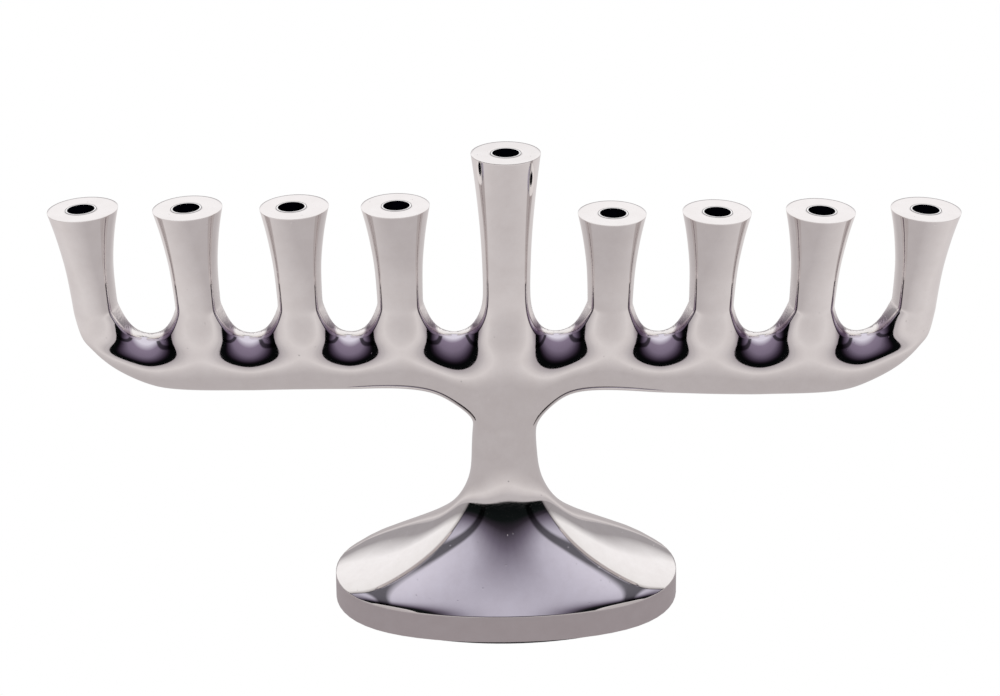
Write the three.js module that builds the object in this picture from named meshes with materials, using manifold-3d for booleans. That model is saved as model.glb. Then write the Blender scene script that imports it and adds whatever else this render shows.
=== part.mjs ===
// Nine-branched cast menorah, free-standing: eight side arms, a taller helper arm in the middle,
// one beam, a neck and a flared oval foot bolted on from below.
// Millimetres, +Z up. Origin: centre of the foot, on the surface that the felt stands on.
// +X runs along the row of cups, -Y is the front.
import * as THREE from 'three';
import Module from 'manifold-3d';
import { mergeVertices } from 'three/addons/utils/BufferGeometryUtils.js';

const wasm = await Module();
wasm.setup();

// ---- Driving dimensions -------------------------------------------------------------------
const fitGap = 0.3;             // free space between two pieces that seat on each other

// Felt ring and foot
const feltThickness = 1.0;
const feltWidth = 4.0;
const feltInset = 1.2;          // from the foot's edge to the felt's edge
const footLength = 148.6;       // along X, at the bottom
const footDepth = 73.4;         // along Y, at the bottom
const bandHeight = 12.6;        // upright band around the foot
const bandDraft = 0.5;          // how far the band leans in over its height
const footWall = 5.5;           // metal left between the hollow underside and the outside
const footJointHeight = 47.0;   // from the foot's underside to the joint with the neck
const footRoof = 16.0;          // solid metal between the joint and the hollow
const wingTaper = 0.25;          // share of the spread along X that is a straight slope
const wingCurve = 1.8;          // power of the rest, which is a curve
const slopeTaper = 0.6;         // the same for the front and back slopes
const slopeCurve = 1.4;
const rimSquareness = 2.2;      // plan of the band's top edge: 2 is an ellipse, more is squarer
const wingSquareness = 2.8;     // the same a little way up the foot
const squareBelow = 0.2;        // share of the slope's height where the plan is squarest
const roundAbove = 0.6;         // share where it starts to turn round again
const bandEdge = 0.8;           // height of the strip under the band's top edge

// Neck
const neckWaistWidth = 25.4;
const neckWaistDepth = 19.6;
const neckShift = -1.1;         // the neck's waist stands a little to the left
const neckWaistHeight = 76.0;   // above the foot's underside
const jointWidth = 42.4;        // neck and foot where they meet
const jointDepth = 30.5;
const neckFilletX = 24.0;       // fillet from the beam's underside into the neck
const neckFilletZ = 24.0;

// Beam
const beamDepth = 18.8;
const edgeRound = 6.6;          // rounding of the beam's front and back edges
const undersideHeight = 104.0;  // beam's underside above the foot's underside
const saddleHeight = 125.8;     // bottom of each gap between two arms
const endCurveX = 44.0;         // curve from the underside up into the outer arms
const endCurveRise = 8.0;       // how far that curve's top stands above the middle of the gaps
const rightUndersideDrop = 4.8; // the right wing was cast and ground a little lower
const rightSaddleDrop = 2.5;
const undersideReach = 0.6;     // share of the half row over which the underside comes down
const saddleReach = 0.7;        // the same for the gaps
const rightCupDrop = 4.1;

// Arms and cups
const sideArms = 4;             // on each side
const armPitch = 39.7;         // between two side arms
const middleShift = 0.4;        // the middle arm leans this far to the right
const stemPitch = 41.1;         // between the middle arm and its neighbours
const cupDiameter = 26.2;
const sideCupHeight = 180.2;    // side cups above the foot's underside
const middleCupHeight = 200.6;
const armWaistWidth = 17.3;
const armWaistDepth = 17.6;
const sideFlareLength = 38.0;   // from the cup's face down to the waist
const middleFlareLength = 52.0;
const sideFlarePower = 2.1;     // curvature of the flare
const middleFlarePower = 1.75;
const outerArmBow = 0.4;        // outward bow of the two outer arms at their waist
const waistSquareness = 2.6;    // section of arms and neck at the waist: 2 is an ellipse, more is squarer

// Candle holes and their liners
const candleDiameter = 10.0;
const candleDepth = 20.0;
const linerWall = 0.7;
const linerFloor = 1.0;

// Fastening: stud, washers, nut and two locating pins
const studDiameter = 8.0;
const studInNeck = 24.0;
const studChamfer = 0.8;
const studTail = 2.0;           // stud past the nut
const washerDiameter = 16.0;
const washerThickness = 1.6;
const springWasherDiameter = 14.0;
const springWasherThickness = 2.0;
const springWasherCut = 0.3;    // radians of ring left out
const nutAcrossFlats = 13.0;
const nutHeight = 6.5;
const pinDiameter = 4.0;
const pinLength = 16.0;
const pinSpacing = 27.0;
const pinChamfer = 0.4;

// ---- Resolution -----------------------------------------------------------------------------
const armSides = 20;
const footSides = 40;
const roundSides = 24;
const edgeSteps = 4;
const outlineSteps = 6;
const undersideSteps = 4;
const flareSteps = 5;
const neckSteps = 6;
const slopeSteps = 9;
const hollowSteps = 6;
const pinSides = 12;

// ---- Derived heights ------------------------------------------------------------------------
const footBottom = feltThickness + fitGap;
const bandTop = footBottom + bandHeight;
const jointZ = footBottom + footJointHeight;
const neckWaistZ = footBottom + neckWaistHeight;
const roofZ = jointZ - footRoof;
const linerDiameter = candleDiameter + 2 * linerWall;
const seatDiameter = linerDiameter + 2 * fitGap;
const cutPast = 5;                // cuts run this far past the faces they open

// ---- Materials --------------------------------------------------------------------------------
const polishedAluminium = new THREE.MeshStandardMaterial({ color: 0xbfb9b8, roughness: 0.08, metalness: 1 });
const polishedFoot = new THREE.MeshStandardMaterial({ color: 0xbab6bb, roughness: 0.1, metalness: 1 });
const darkSteel = new THREE.MeshStandardMaterial({ color: 0x1b1b26, roughness: 0.4, metalness: 0.8 });
const zincSteel = new THREE.MeshStandardMaterial({ color: 0xa4a6a8, roughness: 0.35, metalness: 1 });
const blackFelt = new THREE.MeshStandardMaterial({ color: 0x2a2a2c, roughness: 0.95, metalness: 0 });

// ---- Solids -----------------------------------------------------------------------------------
function solidOf(geometry) {
  const bare = geometry.clone();
  bare.deleteAttribute('normal');
  bare.deleteAttribute('uv');
  const merged = mergeVertices(bare, 1e-4);
  const index = merged.index.array;
  const triangles = [];
  for (let i = 0; i < index.length; i += 3) {
    const [a, b, c] = [index[i], index[i + 1], index[i + 2]];
    if (a !== b && b !== c && c !== a) triangles.push(a, b, c);
  }
  const vertProperties = new Float32Array(merged.attributes.position.array);
  const mesh = new wasm.Mesh({ numProp: 3, vertProperties, triVerts: new Uint32Array(triangles) });
  return new wasm.Manifold(mesh);
}

function geometryOf(solid) {
  const mesh = solid.getMesh();
  const geometry = new THREE.BufferGeometry();
  geometry.setAttribute('position', new THREE.BufferAttribute(new Float32Array(mesh.vertProperties), 3));
  geometry.setIndex(new THREE.BufferAttribute(new Uint32Array(mesh.triVerts), 1));
  geometry.computeVertexNormals();
  return geometry;
}

const power = (value, exponent) => Math.sign(value) * Math.abs(value) ** exponent;
const mix = (from, to, share) => from + (to - from) * share;

// Smooth step from 0 to 1 as value goes from low to high.
function ease(low, high, value) {
  const t = THREE.MathUtils.clamp((value - low) / (high - low), 0, 1);
  return t * t * (3 - 2 * t);
}

function evenly(low, high, steps) {
  return Array.from({ length: steps + 1 }, (unused, i) => mix(low, high, i / steps));
}

// A closed upright body whose section changes with height. section(z) gives halfX, halfY, x and
// squareness: 2 is an ellipse, more is squarer.
function uprightBody(levels, sides, section) {
  const last = levels[levels.length - 1];
  const wall = levels.map((z) => new THREE.Vector2(1, z));
  const profile = [new THREE.Vector2(0, levels[0]), ...wall, new THREE.Vector2(0, last)];
  const geometry = new THREE.LatheGeometry(profile, sides);
  geometry.rotateX(Math.PI / 2);
  const position = geometry.attributes.position;
  for (let i = 0; i < position.count; i++) {
    const z = position.getZ(i);
    const { halfX, halfY, x = 0, squareness = 2 } = section(z);
    const px = x + halfX * power(position.getX(i), 2 / squareness);
    const py = halfY * power(position.getY(i), 2 / squareness);
    position.setXY(i, px, py);
  }
  return geometry;
}

// A round bar or hole along Z with optional chamfered ends.
function roundBar(diameter, bottom, top, chamfer = 0, sides = roundSides) {
  const radius = diameter / 2;
  const profile = [new THREE.Vector2(0, bottom)];
  if (chamfer > 0) profile.push(new THREE.Vector2(radius - chamfer, bottom));
  profile.push(new THREE.Vector2(radius, bottom + chamfer));
  profile.push(new THREE.Vector2(radius, top - chamfer));
  if (chamfer > 0) profile.push(new THREE.Vector2(radius - chamfer, top));
  profile.push(new THREE.Vector2(0, top));
  const geometry = new THREE.LatheGeometry(profile, sides);
  geometry.rotateX(Math.PI / 2);
  return geometry;
}

// ---- The row of arms --------------------------------------------------------------------------
// One entry for each arm from left to right.
function listArms() {
  const arms = [];
  for (let step = -sideArms; step <= sideArms; step++) {
    const side = Math.sign(step);
    const outward = step === 0 ? 0 : stemPitch + (Math.abs(step) - 1) * armPitch;
    const drop = side > 0 ? rightCupDrop : 0;
    arms.push({
      x: side * outward + (step === 0 ? middleShift : 0),
      top: footBottom + (step === 0 ? middleCupHeight : sideCupHeight - drop),
      flareLength: step === 0 ? middleFlareLength : sideFlareLength,
      flarePower: step === 0 ? middleFlarePower : sideFlarePower,
      bow: Math.abs(step) === sideArms ? side * outerArmBow : 0,
    });
  }
  return arms;
}

const arms = listArms();
const halfSpan = arms[arms.length - 1].x;
const waistX = (arm) => arm.x + arm.bow;

function undersideAt(x) {
  return footBottom + undersideHeight - rightUndersideDrop * ease(0, halfSpan * undersideReach, x);
}

function saddleAt(x) {
  return footBottom + saddleHeight - rightSaddleDrop * ease(0, halfSpan * saddleReach, x);
}

// The U-shaped gap to the right of arm i: its middle, its radius and its centre's height.
function gapAfter(i) {
  const left = waistX(arms[i]) + armWaistWidth / 2;
  const right = waistX(arms[i + 1]) - armWaistWidth / 2;
  const middle = (left + right) / 2;
  const radius = (right - left) / 2;
  return { left, right, middle, radius, centreZ: saddleAt(middle) + radius };
}

// Arm's section at a height, from the cup's circle down to the waist.
function armSection(arm, z) {
  const share = THREE.MathUtils.clamp((arm.top - z) / arm.flareLength, 0, 1);
  const spread = (1 - share) ** arm.flarePower;
  const deepen = ease(arm.top - arm.flareLength, saddleAt(arm.x), z);
  const waistDepth = mix(armWaistDepth, beamDepth, deepen);
  return {
    halfX: mix(armWaistWidth, cupDiameter, spread) / 2,
    halfY: mix(waistDepth, cupDiameter, spread) / 2,
    x: arm.x + arm.bow * (1 - spread),
    squareness: mix(waistSquareness, 2, Math.sqrt(spread)),
  };
}

// ---- Candelabrum casting ------------------------------------------------------------------------
const stubRise = endCurveRise + edgeRound + 1.5;  // how far the beam's stubs reach up inside the arms
const neckStubDrop = edgeRound;  // how far the beam's neck stub reaches down inside the neck
const stubInset = 0.35;          // stubs are this much slimmer than the arms around them
const armLap = 1.0;              // an outer arm's lower end stays inside the beam over this height
const lapProud = 0.1;            // how far the beam stands out from the arm there

const gaps = arms.slice(0, -1).map((arm, i) => gapAfter(i));

// Lower end of an arm's own solid, inside the beam.
function armBottom(arm) {
  const reach = arm.bow === 0 ? armWaistWidth / 2 : armWaistWidth / 2 + endCurveRise;
  return saddleAt(arm.x) + reach;
}

// Top of the stub inside arm i, above the higher of the two gaps beside it.
function stubTop(i) {
  const beside = gaps.slice(Math.max(i - 1, 0), i + 1);
  return Math.max(...beside.map((gap) => gap.centreZ)) + stubRise;
}

function beamOutline() {
  const half = armWaistWidth / 2 - stubInset;
  const leftEdge = waistX(arms[0]) - armWaistWidth / 2;
  const rightEdge = waistX(arms[arms.length - 1]) + armWaistWidth / 2;
  const neckHalf = neckWaistWidth / 2 - stubInset;
  const neckLeft = neckShift - neckHalf;
  const neckRight = neckShift + neckHalf;
  const outline = new THREE.Shape();
  outline.moveTo(leftEdge + stubInset, stubTop(0));
  arms.forEach((arm, i) => {
    outline.lineTo(waistX(arm) + half, stubTop(i));
    if (i === gaps.length) return;
    const gap = gaps[i];
    if (arm.bow !== 0) outline.lineTo(gap.left + lapProud, armBottom(arm) + armLap);
    outline.lineTo(gap.left, gap.centreZ);
    outline.absarc(gap.middle, gap.centreZ, gap.radius, Math.PI, 2 * Math.PI, false);
    if (arms[i + 1].bow !== 0) outline.lineTo(gap.right - lapProud, armBottom(arms[i + 1]) + armLap);
    outline.lineTo(waistX(arms[i + 1]) - half, stubTop(i + 1));
  });
  const leftEndZ = gaps[0].centreZ + endCurveRise;
  const rightEndZ = gaps[gaps.length - 1].centreZ + endCurveRise;
  const leftCurveZ = leftEndZ - undersideAt(leftEdge);
  const rightCurveZ = rightEndZ - undersideAt(rightEdge);
  outline.lineTo(rightEdge, rightEndZ);
  outline.absellipse(rightEdge - endCurveX, rightEndZ, endCurveX, rightCurveZ, 0, -Math.PI / 2, true);
  const filletRight = neckRight + neckFilletX;
  for (const x of evenly(rightEdge - endCurveX, filletRight, undersideSteps).slice(1, -1)) {
    outline.lineTo(x, undersideAt(x));
  }
  const rightFilletZ = undersideAt(filletRight) - neckFilletZ;
  outline.lineTo(filletRight, undersideAt(filletRight));
  outline.absellipse(filletRight, rightFilletZ, neckFilletX, neckFilletZ, Math.PI / 2, Math.PI, false);
  outline.lineTo(neckRight, neckWaistZ - neckStubDrop);
  outline.lineTo(neckLeft, neckWaistZ - neckStubDrop);
  const filletLeft = neckLeft - neckFilletX;
  const leftFilletZ = undersideAt(filletLeft) - neckFilletZ;
  outline.lineTo(neckLeft, leftFilletZ);
  outline.absellipse(filletLeft, leftFilletZ, neckFilletX, neckFilletZ, 0, Math.PI / 2, false);
  outline.lineTo(leftEdge + endCurveX, undersideAt(leftEdge + endCurveX));
  outline.absellipse(leftEdge + endCurveX, leftEndZ, endCurveX, leftCurveZ, -Math.PI / 2, -Math.PI, true);
  return outline;
}

// The outline's points with no two alike next to each other.
function distinctPoints(outline, curveSegments) {
  const points = outline.getPoints(curveSegments);
  const nearest = 0.5;
  const before = (i) => points[(i + points.length - 1) % points.length];
  return points.filter((point, i) => point.distanceTo(before(i)) > nearest);
}

function beamSolid() {
  const outline = new THREE.Shape(distinctPoints(beamOutline(), outlineSteps));
  const geometry = new THREE.ExtrudeGeometry(outline, {
    steps: 1,
    depth: beamDepth - 2 * edgeRound,
    bevelEnabled: true,
    bevelThickness: edgeRound,
    bevelSize: edgeRound,
    bevelOffset: -edgeRound,
    bevelSegments: edgeSteps,
  });
  geometry.translate(0, 0, -(beamDepth - 2 * edgeRound) / 2);
  geometry.rotateX(Math.PI / 2);
  return solidOf(geometry);
}

function armSolid(arm) {
  const bottom = armBottom(arm);
  const flareBottom = Math.max(arm.top - arm.flareLength, bottom + armLap);
  const levels = [bottom, ...evenly(flareBottom, arm.top, flareSteps)];
  return solidOf(uprightBody(levels, armSides, (z) => armSection(arm, z)));
}

// The neck from the joint up into the beam: narrow at its waist, wide at the joint.
function neckSection(z) {
  const spread = THREE.MathUtils.clamp((neckWaistZ - z) / (neckWaistZ - jointZ), 0, 1) ** 2;
  return {
    halfX: mix(neckWaistWidth, jointWidth, spread) / 2,
    halfY: mix(neckWaistDepth, jointDepth, spread) / 2,
    x: neckShift * (1 - spread),
    squareness: mix(waistSquareness, 2, spread),
  };
}

function neckSolid() {
  const levels = [...evenly(jointZ + fitGap, neckWaistZ, neckSteps), undersideAt(0) - neckFilletZ / 2];
  return solidOf(uprightBody(levels, footSides, neckSection));
}

function candelabrumCasting() {
  let casting = beamSolid().add(neckSolid());
  for (const arm of arms) {
    const seatFloor = arm.top - candleDepth - linerFloor - fitGap;
    casting = casting.add(armSolid(arm));
    const seat = roundBar(seatDiameter, seatFloor, arm.top + cutPast).translate(arm.x, 0, 0);
    casting = casting.subtract(solidOf(seat));
  }
  const studHole = studDiameter + 2 * fitGap;
  casting = casting.subtract(solidOf(roundBar(studHole, jointZ - cutPast, jointZ + studInNeck + fitGap)));
  return casting.subtract(pinHoles());
}

// ---- Foot casting ---------------------------------------------------------------------------------
// Part straight slope, part curve: 0 at the joint and 1 at the band.
const spreadDown = (fall, taper, curve) => taper * fall + (1 - taper) * fall ** curve;

function footSquareness(rise) {
  const low = mix(rimSquareness, wingSquareness, ease(0, squareBelow, rise));
  return mix(low, 2, ease(roundAbove, 1, rise));
}

function footSection(z) {
  const lean = bandDraft * THREE.MathUtils.clamp((z - footBottom) / bandHeight, 0, 1);
  const rise = THREE.MathUtils.clamp((z - bandTop) / (jointZ - bandTop), 0, 1);
  return {
    halfX: mix(jointWidth / 2, footLength / 2 - lean, spreadDown(1 - rise, wingTaper, wingCurve)),
    halfY: mix(jointDepth / 2, footDepth / 2 - lean, spreadDown(1 - rise, slopeTaper, slopeCurve)),
    squareness: rise > 0 ? footSquareness(rise) : mix(2, rimSquareness, lean / bandDraft),
  };
}

// The hollow under the foot follows the outside at the wall's thickness.
function hollowSection(z) {
  const outside = footSection(Math.max(z, footBottom) + footWall);
  return { halfX: outside.halfX - footWall, halfY: outside.halfY - footWall, squareness: 2 };
}

function pinHoles() {
  const holeDiameter = pinDiameter + 2 * fitGap;
  const reach = pinLength / 2 + fitGap;
  const one = solidOf(roundBar(holeDiameter, jointZ - reach, jointZ + reach, 0, pinSides));
  return one.translate(-pinSpacing / 2, 0, 0).add(one.translate(pinSpacing / 2, 0, 0));
}

function footCasting() {
  const levels = [footBottom, bandTop - bandEdge, ...evenly(bandTop, jointZ, slopeSteps)];
  const outside = solidOf(uprightBody(levels, footSides, footSection));
  const hollowLevels = [footBottom - cutPast, ...evenly(bandTop - footWall, roofZ, hollowSteps)];
  const hollow = solidOf(uprightBody(hollowLevels, footSides, hollowSection));
  const studHole = studDiameter + 2 * fitGap;
  const foot = outside.subtract(hollow).subtract(pinHoles());
  return foot.subtract(solidOf(roundBar(studHole, roofZ - cutPast, jointZ + cutPast)));
}

// ---- Small pieces ---------------------------------------------------------------------------------
function candleLiner(arm) {
  const inner = candleDiameter / 2;
  const outer = inner + linerWall;
  const floor = arm.top - candleDepth;
  const profile = [
    new THREE.Vector2(0, floor - linerFloor),
    new THREE.Vector2(outer, floor - linerFloor),
    new THREE.Vector2(outer, arm.top),
    new THREE.Vector2(inner, arm.top),
    new THREE.Vector2(inner, floor),
    new THREE.Vector2(0, floor),
  ];
  const geometry = new THREE.LatheGeometry(profile, roundSides);
  geometry.rotateX(Math.PI / 2);
  return geometry.translate(arm.x, 0, 0);
}

// A flat ring along Z, from an outer outline and an inner one.
function flatRing(outline, hole, bottom, thickness, curveSegments) {
  outline.holes.push(hole);
  const geometry = new THREE.ExtrudeGeometry(outline, { depth: thickness, bevelEnabled: false, curveSegments });
  return geometry.translate(0, 0, bottom);
}

const circlePath = (radius) => new THREE.Path().absarc(0, 0, radius, 0, 2 * Math.PI, true);
const boltHole = () => circlePath(studDiameter / 2 + fitGap);

function feltRing() {
  const halfX = footLength / 2 - feltInset;
  const halfY = footDepth / 2 - feltInset;
  const outline = new THREE.Shape().absellipse(0, 0, halfX, halfY, 0, 2 * Math.PI, false);
  const hole = new THREE.Path().absellipse(0, 0, halfX - feltWidth, halfY - feltWidth, 0, 2 * Math.PI, true);
  return flatRing(outline, hole, 0, feltThickness, footSides / 2);
}

function plainWasher(bottom) {
  const outline = new THREE.Shape().absarc(0, 0, washerDiameter / 2, 0, 2 * Math.PI, false);
  return flatRing(outline, boltHole(), bottom, washerThickness, roundSides / 2);
}

function springWasher(bottom) {
  const start = springWasherCut / 2;
  const end = 2 * Math.PI - springWasherCut / 2;
  const outline = new THREE.Shape();
  outline.absarc(0, 0, springWasherDiameter / 2, start, end, false);
  outline.absarc(0, 0, studDiameter / 2 + fitGap, end, start, true);
  outline.closePath();
  const options = { depth: springWasherThickness, bevelEnabled: false, curveSegments: roundSides / 2 };
  return new THREE.ExtrudeGeometry(outline, options).translate(0, 0, bottom);
}

function hexNut(bottom) {
  const corner = nutAcrossFlats / Math.sqrt(3);
  const outline = new THREE.Shape();
  for (let i = 0; i < 6; i++) {
    const angle = (i * Math.PI) / 3;
    const point = [corner * Math.cos(angle), corner * Math.sin(angle)];
    if (i === 0) outline.moveTo(...point);
    else outline.lineTo(...point);
  }
  outline.closePath();
  return flatRing(outline, boltHole(), bottom, nutHeight, roundSides / 2);
}

// ---- Assembly -------------------------------------------------------------------------------------
const menorah = new THREE.Group();

function addPiece(name, geometry, material) {
  const piece = new THREE.Mesh(geometry, material);
  piece.name = name;
  menorah.add(piece);
  return piece;
}

addPiece('candelabrum_casting', geometryOf(candelabrumCasting()), polishedAluminium);
addPiece('foot_casting', geometryOf(footCasting()), polishedFoot);
addPiece('felt_ring', feltRing(), blackFelt);

arms.forEach((arm, i) => {
  const name = i === sideArms ? 'candle_liner_helper' : `candle_liner_${i < sideArms ? i + 1 : i}`;
  addPiece(name, candleLiner(arm), darkSteel);
});

const washerBottom = roofZ - fitGap - washerThickness;
const springBottom = washerBottom - fitGap - springWasherThickness;
const nutBottom = springBottom - fitGap - nutHeight;
addPiece('plain_washer', plainWasher(washerBottom), zincSteel);
addPiece('spring_washer', springWasher(springBottom), zincSteel);
addPiece('hex_nut', hexNut(nutBottom), zincSteel);
addPiece('tie_stud', roundBar(studDiameter, nutBottom - studTail, jointZ + studInNeck, studChamfer), zincSteel);

for (const [name, side] of [['locating_pin_left', -1], ['locating_pin_right', 1]]) {
  const pin = roundBar(pinDiameter, -pinLength / 2, pinLength / 2, pinChamfer, pinSides);
  addPiece(name, pin, zincSteel).position.set((side * pinSpacing) / 2, 0, jointZ);
}

export default menorah;
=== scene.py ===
import math

import bmesh
import bpy
from mathutils import Matrix, Vector


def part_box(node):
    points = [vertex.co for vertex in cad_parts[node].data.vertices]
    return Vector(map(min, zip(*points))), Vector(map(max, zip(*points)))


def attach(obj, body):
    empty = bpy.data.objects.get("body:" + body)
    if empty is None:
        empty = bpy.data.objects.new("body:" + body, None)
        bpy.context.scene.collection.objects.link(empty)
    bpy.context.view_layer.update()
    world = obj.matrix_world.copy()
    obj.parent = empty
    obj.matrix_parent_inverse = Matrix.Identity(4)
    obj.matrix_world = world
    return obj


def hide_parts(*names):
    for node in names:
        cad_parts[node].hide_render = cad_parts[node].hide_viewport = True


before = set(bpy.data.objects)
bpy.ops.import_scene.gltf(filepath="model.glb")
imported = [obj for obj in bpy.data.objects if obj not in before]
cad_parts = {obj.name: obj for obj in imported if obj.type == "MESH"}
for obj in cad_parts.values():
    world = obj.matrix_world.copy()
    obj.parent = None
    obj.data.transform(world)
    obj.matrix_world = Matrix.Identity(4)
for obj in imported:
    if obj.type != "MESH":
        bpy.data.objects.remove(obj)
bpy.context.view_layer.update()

# Nine-branched menorah in mirror-polished cast aluminium: beam, arms and neck are one casting,
# the flared oval foot is another, and dark sleeves line the nine candle holes.
# Lengths in the dictionaries are in millimetres, unless a note says metres, and angles in degrees.
mm = 0.001
ellipse = 2  # squareness of a plain ellipse; more is boxier
leaning = 0.3  # a face whose normal points up or down by more than this is a top or an underside
facing = 0.9  # a face whose normal points along an axis by more than this faces that way

colourMix = {"data_type": "RGBA"}
tintMix = {"data_type": "RGBA", "blend_type": "MULTIPLY"}
valueMix = {"data_type": "FLOAT"}
multiply = {"operation": "MULTIPLY"}


def clearSelection():
    if bpy.context.object and bpy.context.object.mode != "OBJECT":
        bpy.ops.object.mode_set(mode="OBJECT")
    bpy.ops.object.select_all(action="DESELECT")


def linearColour(hexValue):
    channels = [int(hexValue[i:i + 2], 16) / 255 for i in (1, 3, 5)]
    return tuple(c / 12.92 if c <= 0.04045 else ((c + 0.055) / 1.055) ** 2.4 for c in channels) + (1.0,)


# An input is given by its name, as Base_Color, or by its number, as i6, where several share a name.
# It takes a value, or another node's output.
def addNode(tree, kind, settings=None, **inputs):
    node = tree.nodes.new(kind)
    for name, value in (settings or {}).items():
        setattr(node, name, value)
    for name, value in inputs.items():
        numbered = name[0] == "i" and name[1:].isdigit()
        socket = node.inputs[int(name[1:]) if numbered else name.replace("_", " ")]
        if isinstance(value, bpy.types.NodeSocket):
            tree.links.new(value, socket)
        else:
            socket.default_value = value
    return node


def newMaterial(name):
    material = bpy.data.materials.new(name)
    material.use_nodes = True
    material.node_tree.nodes.clear()
    return material, material.node_tree


def giveMaterial(piece, material):
    piece.data.materials.clear()
    piece.data.materials.append(material)


def smooth(low, high, value):
    t = min(max((value - low) / (high - low), 0), 1)
    return t * t * (3 - 2 * t)


def mix(low, high, share):
    return low + (high - low) * share


# Cage values whose smooth surface passes through the targets, for rings one after another. The
# surface lies at a sixth of each neighbour and four sixths of the value itself.
def throughTargets(targets):
    values = list(targets)
    rounds = 30  # the values have settled by then
    for _ in range(rounds):
        for i in range(1, len(values) - 1):
            values[i] = (6 * targets[i] - values[i - 1] - values[i + 1]) / 4
    return values


# For a ring of eight points: how far out its corners stand, and how much the smooth ring shrinks.
def ringShape(squareness):
    diagonal = 2 ** (-1 / squareness)
    corner = (4 * diagonal - 1) / (4 - 2 * diagonal)
    return corner, (4 + 2 * corner) / 6


# Selects what passes the test in edit mode: its faces, or its points.
def choose(test, faces=True):
    mesh = bmesh.from_edit_mesh(bpy.context.object.data)
    for part in (mesh.verts, mesh.edges, mesh.faces):
        for element in part:
            element.select_set(False)
    for element in (mesh.faces if faces else mesh.verts):
        if faces and test(element.calc_center_median(), element.normal):
            element.select_set(True)
        elif not faces and test(element.co):
            element.select_set(True)
    mesh.select_flush_mode()
    bmesh.update_edit_mesh(bpy.context.object.data)


def growFaces(x, y, z):
    bpy.ops.mesh.extrude_region_move(TRANSFORM_OT_translate={"value": (x * mm, y * mm, z * mm)})


def scaleAbout(centre, x, y, z):
    bpy.ops.transform.resize(value=(x, y, z), center_override=tuple(c * mm for c in centre))


def shift(x, y, z):
    bpy.ops.transform.translate(value=(x * mm, y * mm, z * mm))


def near(value, target, reach=0.05):
    return abs(value / mm - target) < reach


# The row of arms and the beam that they rise from. The right side hangs lower than the left.
row = {
    "sideArms": 4, "pitch": 39.7, "stemPitch": 41.1, "middleShift": 0.4,
    "waistWidths": (16.4, 17.2, 17.3, 17.8, 18.5, 17.6, 17.3, 17.3, 16.4),  # from left to right
    "cupShifts": (0.7, 0.5, 1.1, -0.4, 0.0, -0.4, -0.2, -0.4, 0.0),  # how far each cup is off its hole
    "stemShare": 0.4, "outerBow": 0.4,
    "waistDepth": 17.6, "waistSquareness": 2.4, "beamDepth": 18.8, "beamSquareness": 2.3,
    "saddleZ": 127.1, "rightSaddleDrop": 2.5, "saddleDropShare": 0.7,
    "undersideZ": 104.6, "rightUndersideDrop": 5.0, "undersideDropShare": 0.6,
    "cupWidth": 26.2, "sideFlare": 38.0, "sideFlarePower": 2.1, "middleFlare": 52.0, "middleFlarePower": 1.75,
    "flareShares": (0, 0.3, 0.55, 0.75, 0.9, 1), "flareAbove": 4, "stemStart": 8,
    "holeWidth": 11.5, "holeDepth": 21.2,
}

# The beam's cage, which stands a little outside the smooth surface. A section's side points are
# within sideBand of its mid height, and what is beyond offMiddle isn't on a middle line.
cage = {
    "topCorner": 0.60, "bottomCorner": 0.86, "columnDepth": 0.98,
    "sideReach": 0.62, "rightReach": 0.93, "saddleLift": 3.0, "sideLift": 1.2,
    "undersideSink": 0.8, "sideBand": 2, "offMiddle": 1, "armReach": 13, "armBand": 12,
}

# The beam's ends turn up into the outer arms. curveRise is measured from the middle of the last
# gap's round bottom, and the other rises from the bottom itself.
ends = {
    "curveX": 44.0, "curveRise": 8.0, "curveShare": 0.97, "out": 0.6, "corner": 0.76,
    "topRise": 6.5, "sideRise": 1, "bottomRise": -4.5, "middleRise": -11, "innerRise": -16, "sink": 0.5,
}


def listArms():
    arms = []
    for step in range(-row["sideArms"], row["sideArms"] + 1):
        side = (step > 0) - (step < 0)
        holeX = side * (row["stemPitch"] + (abs(step) - 1) * row["pitch"]) if step else row["middleShift"]
        number = step + row["sideArms"] + (step < 0)
        liner = f"candle_liner_{number}" if step else "candle_liner_helper"
        cupShift = row["cupShifts"][len(arms)]
        outward = side * row["outerBow"] if abs(step) == row["sideArms"] else 0
        arms.append({
            "x": holeX + cupShift, "holeX": holeX, "side": side, "liner": liner,
            "top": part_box(liner)[1].z / mm, "width": row["waistWidths"][len(arms)],
            "bow": (row["stemShare"] - 1) * cupShift + outward,
            "flare": row["sideFlare"] if step else row["middleFlare"],
            "power": row["sideFlarePower"] if step else row["middleFlarePower"],
        })
    return arms


arms = listArms()
halfSpan = arms[-1]["x"]


def saddleAt(x):
    return row["saddleZ"] - row["rightSaddleDrop"] * smooth(0, halfSpan * row["saddleDropShare"], x)


def undersideAt(x):
    return row["undersideZ"] - row["rightUndersideDrop"] * smooth(0, halfSpan * row["undersideDropShare"], x)


def listGaps():
    gaps = []
    for left, right in zip(arms, arms[1:]):
        start = left["x"] + left["bow"] + left["width"] / 2
        end = right["x"] + right["bow"] - right["width"] / 2
        middle, radius = (start + end) / 2, (end - start) / 2
        gaps.append({"x": middle, "radius": radius, "z": saddleAt(middle) + radius})
    return gaps


gaps = listGaps()

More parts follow.
